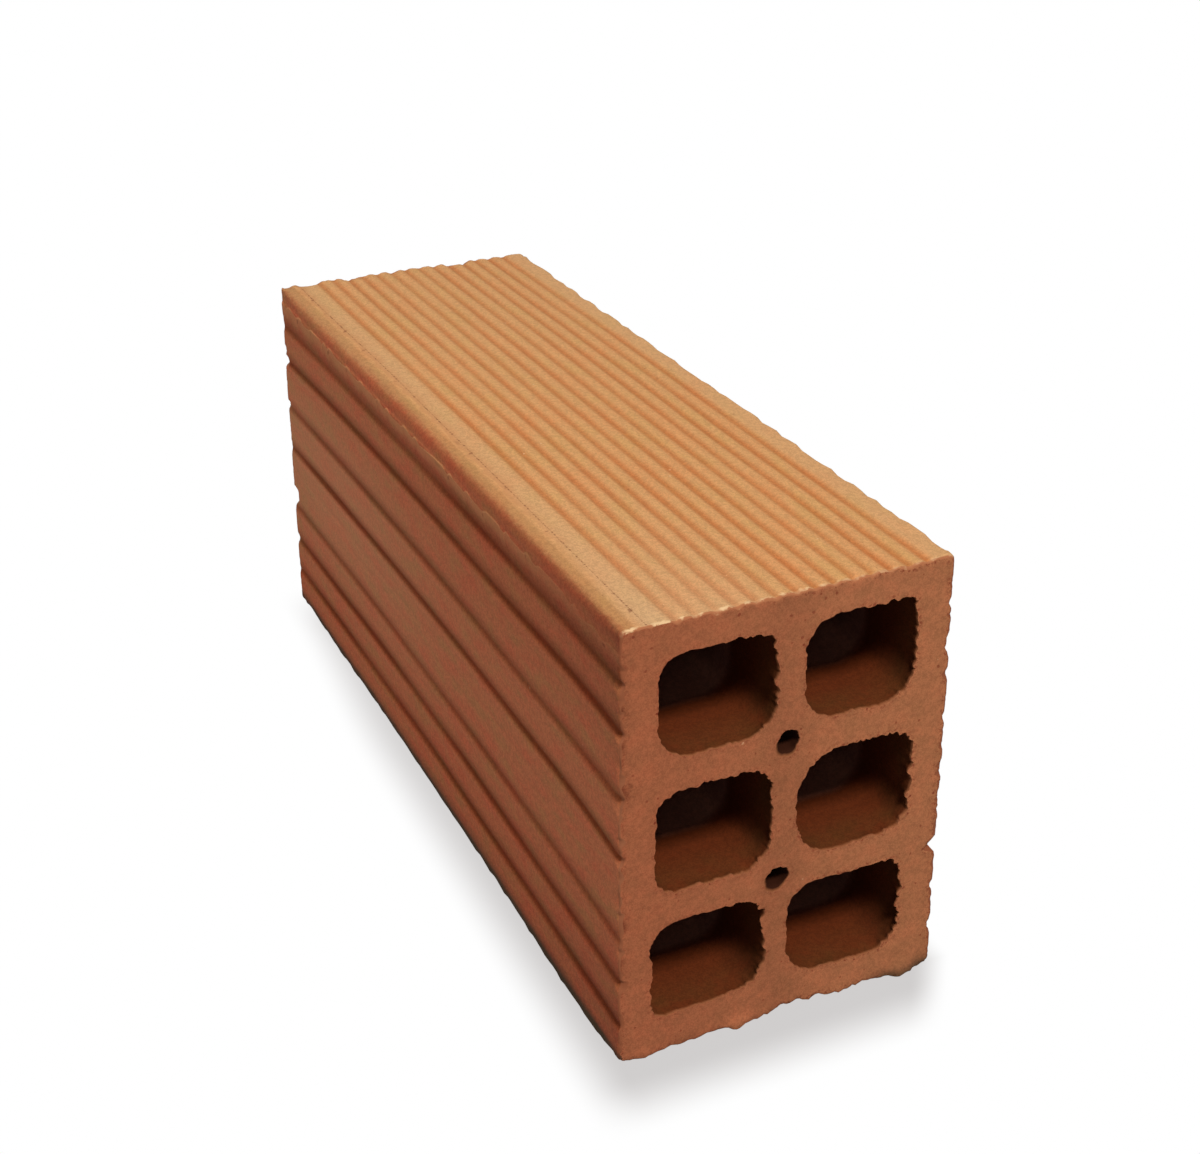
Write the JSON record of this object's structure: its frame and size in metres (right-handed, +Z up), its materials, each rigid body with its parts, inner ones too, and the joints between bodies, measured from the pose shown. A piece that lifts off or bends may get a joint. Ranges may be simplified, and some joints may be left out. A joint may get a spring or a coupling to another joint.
{
  "type": "hollow clay brick",
  "caption": "Extruded hollow clay brick with lengthwise rounded cells, fine grooves on its bed faces and coarse grooves on its sides, for masonry walls.",
  "frame": {"origin": "centre of the bed face that the brick lies on", "axes": "+Y along the cells and the brick's length, +X across its width, +Z up through its height"},
  "size_m": [0.09, 0.27, 0.12],
  "materials": {
    "fired_clay": "matte"
  },
  "bodies": {
    "root": {"brick_body": "fired_clay"}
  },
  "joints": []
}
